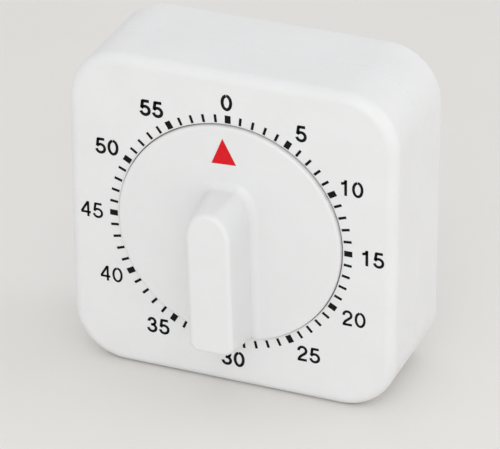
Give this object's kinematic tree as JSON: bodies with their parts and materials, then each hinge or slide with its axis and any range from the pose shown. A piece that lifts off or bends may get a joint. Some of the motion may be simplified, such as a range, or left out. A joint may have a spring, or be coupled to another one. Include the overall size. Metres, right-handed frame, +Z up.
{
  "type": "mechanical bench timer",
  "caption": "Square white countdown timer with a rotary dial and finger grip, a wound clockwork movement and a bell inside a two-part case.",
  "frame": {"origin": "on the base the timer stands on, at the middle of its overall width and depth", "axes": "+X to the right as seen from the front, -Y out of the dial face, +Z up"},
  "size_m": [0.068, 0.0374, 0.068],
  "materials": {
    "case_plastic": "satin-gloss moulded ABS, white",
    "knob_plastic": "satin-gloss moulded ABS, white",
    "pointer_red": "red inlaid mark",
    "scale_ink": "black printing ink",
    "plate_steel": "zinc-plated sheet steel",
    "arbor_steel": "turned steel",
    "spring_steel": "blued spring steel",
    "wheel_brass": "stamped brass",
    "bell_steel": "nickel-plated steel",
    "screw_steel": "zinc-plated steel"
  },
  "bodies": {
    "case": {"front_case": "case_plastic", "scale_marks": "scale_ink", "rear_cover": "case_plastic", "case_screws": "screw_steel", "front_plate": "plate_steel", "back_plate": "plate_steel", "pillars": "wheel_brass", "plate_screws": "screw_steel", "movement_screws": "screw_steel", "stop_pin": "arbor_steel", "spring_post": "arbor_steel", "mainspring": "spring_steel", "bell_dome": "bell_steel", "bell_post": "arbor_steel", "bell_nut": "screw_steel", "balance_cock": "wheel_brass", "cock_screw": "screw_steel", "hairspring": "spring_steel", "hairspring_stud": "wheel_brass", "hammer_spring": "spring_steel"},
    "dial": {"dial_knob": "knob_plastic", "pointer_mark": "pointer_red", "main_arbor": "arbor_steel", "main_wheel": "wheel_brass", "main_collet": "wheel_brass", "clutch_spring": "spring_steel", "clutch_collar": "arbor_steel", "release_cam": "wheel_brass", "stop_arm": "arbor_steel"},
    "second": {"second_arbor": "arbor_steel", "second_wheel": "wheel_brass"},
    "third": {"third_arbor": "arbor_steel", "third_wheel": "wheel_brass"},
    "escape": {"escape_arbor": "arbor_steel", "escape_wheel": "wheel_brass"},
    "balance": {"balance_staff": "arbor_steel", "pallet_anchor": "arbor_steel", "balance_wheel": "wheel_brass", "hairspring_collet": "wheel_brass"},
    "hammer": {"hammer_arbor": "arbor_steel", "hammer_tail": "arbor_steel", "hammer_arm": "arbor_steel", "hammer_head": "wheel_brass"}
  },
  "joints": [
    {"name": "dial_turn", "type": "hinge", "parent": "case", "child": "dial", "pos_m": [0, 0.0047, 0.034], "axis": [0, 1, 0], "range_deg": [0, 354], "stiffness_Nm_per_rad": 0.008, "springref_deg": -34.38},
    {"name": "second_spin", "type": "hinge", "parent": "case", "child": "second", "pos_m": [0.01315, 0.0047, 0.02479], "axis": [0, 1, 0], "range_deg": [-3186, 0]},
    {"name": "third_spin", "type": "hinge", "parent": "case", "child": "third", "pos_m": [0.01828, 0.0047, 0.03444], "axis": [0, 1, 0], "range_deg": [0, 23895]},
    {"name": "escape_spin", "type": "hinge", "parent": "case", "child": "escape", "pos_m": [0.01681, 0.0047, 0.04277], "axis": [0, 1, 0], "range_deg": [-143370, 0]},
    {"name": "balance_swing", "type": "hinge", "parent": "case", "child": "balance", "pos_m": [0.0177, 0.0047, 0.0478], "axis": [0, 1, 0], "range_deg": [-8, 8], "stiffness_Nm_per_rad": 0.00005},
    {"name": "hammer_swing", "type": "hinge", "parent": "case", "child": "hammer", "pos_m": [-0.014, 0.0047, 0.048], "axis": [0, 1, 0], "range_deg": [-7, 2], "stiffness_Nm_per_rad": 0.002}
  ],
  "couplings": [
    {"joint": "second_spin", "follows": "dial_turn", "ratio": -9},
    {"joint": "third_spin", "follows": "dial_turn", "ratio": 67.5},
    {"joint": "escape_spin", "follows": "dial_turn", "ratio": -405}
  ]
}
